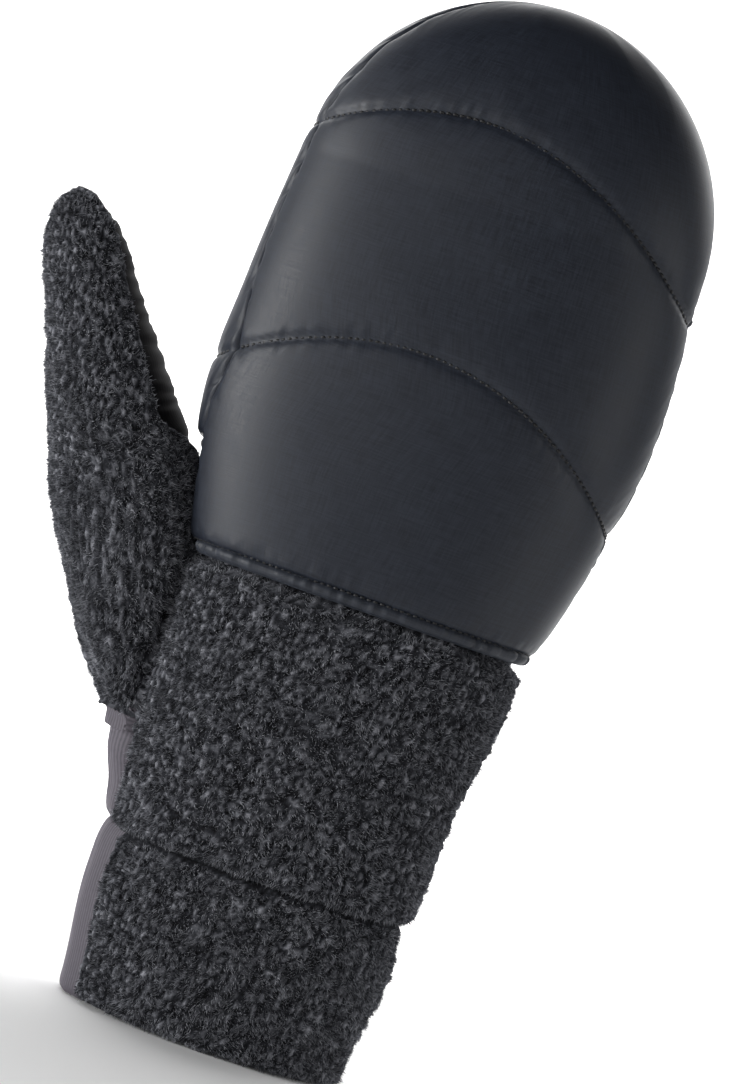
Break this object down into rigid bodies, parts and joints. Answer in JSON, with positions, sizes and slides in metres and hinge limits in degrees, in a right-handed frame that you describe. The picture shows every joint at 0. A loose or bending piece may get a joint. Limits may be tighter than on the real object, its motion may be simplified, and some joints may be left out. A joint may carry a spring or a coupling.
{
  "type": "convertible flip-top mitten",
  "caption": "Right-hand mitten: a fingerless fleece glove with a full thumb, and a quilted hood that covers the fingers or turns back over the hand.",
  "frame": {"origin": "middle of the cuff's mouth, on the plane of its rim", "axes": "+Z from the cuff to the fingertips, +X to the little finger's side, +Y out of the palm (-Y out of the back of the hand)"},
  "size_m": [0.1636, 0.0541, 0.2725],
  "materials": {
    "fleece": "high-pile charcoal fleece",
    "smooth_stretch": "smooth stretch weave, warm dark grey",
    "quilt_shell": "fine calendered weave with a soft sheen, near black",
    "wadding": "fibre wadding",
    "lining": "plain weave lining",
    "hem": "folded and topstitched cloth",
    "thread": "sewing thread, black",
    "elastic": "flat elastic"
  },
  "bodies": {
    "glove": {"hand_back_panel": "fleece", "hand_palm_panel": "smooth_stretch", "thumb_back_panel": "fleece", "thumb_palm_panel": "smooth_stretch", "cuff_back_panel": "fleece", "cuff_palm_panel": "smooth_stretch", "cuff_facing": "smooth_stretch", "wrist_elastic": "elastic", "finger_fourchettes": "smooth_stretch", "index_finger_stall": "smooth_stretch", "middle_finger_stall": "smooth_stretch", "ring_finger_stall": "smooth_stretch", "little_finger_stall": "smooth_stretch", "index_finger_hem": "hem", "middle_finger_hem": "hem", "ring_finger_hem": "hem", "little_finger_hem": "hem", "knuckle_shell": "quilt_shell", "knuckle_wadding": "wadding", "knuckle_lining": "lining", "knuckle_hem": "hem", "knuckle_hem_thread": "thread"},
    "hood": {"hood_back_shell": "quilt_shell", "hood_back_wadding": "wadding", "hood_back_lining": "lining", "hood_palm_shell": "quilt_shell", "hood_palm_wadding": "wadding", "hood_palm_lining": "lining", "lower_quilt_thread": "thread", "upper_quilt_thread": "thread", "palm_lower_quilt_thread": "thread", "palm_upper_quilt_thread": "thread", "mouth_binding": "hem", "mouth_elastic": "elastic"}
  },
  "joints": [
    {"name": "hood_flip", "type": "hinge", "parent": "glove", "child": "hood", "pos_m": [0, -0.0278, 0.134], "axis": [1, 0, 0], "range_deg": [0, 165], "deforming": ["hood_palm_shell", "hood_palm_wadding", "hood_palm_lining", "palm_lower_quilt_thread", "palm_upper_quilt_thread", "mouth_binding", "mouth_elastic"]}
  ]
}
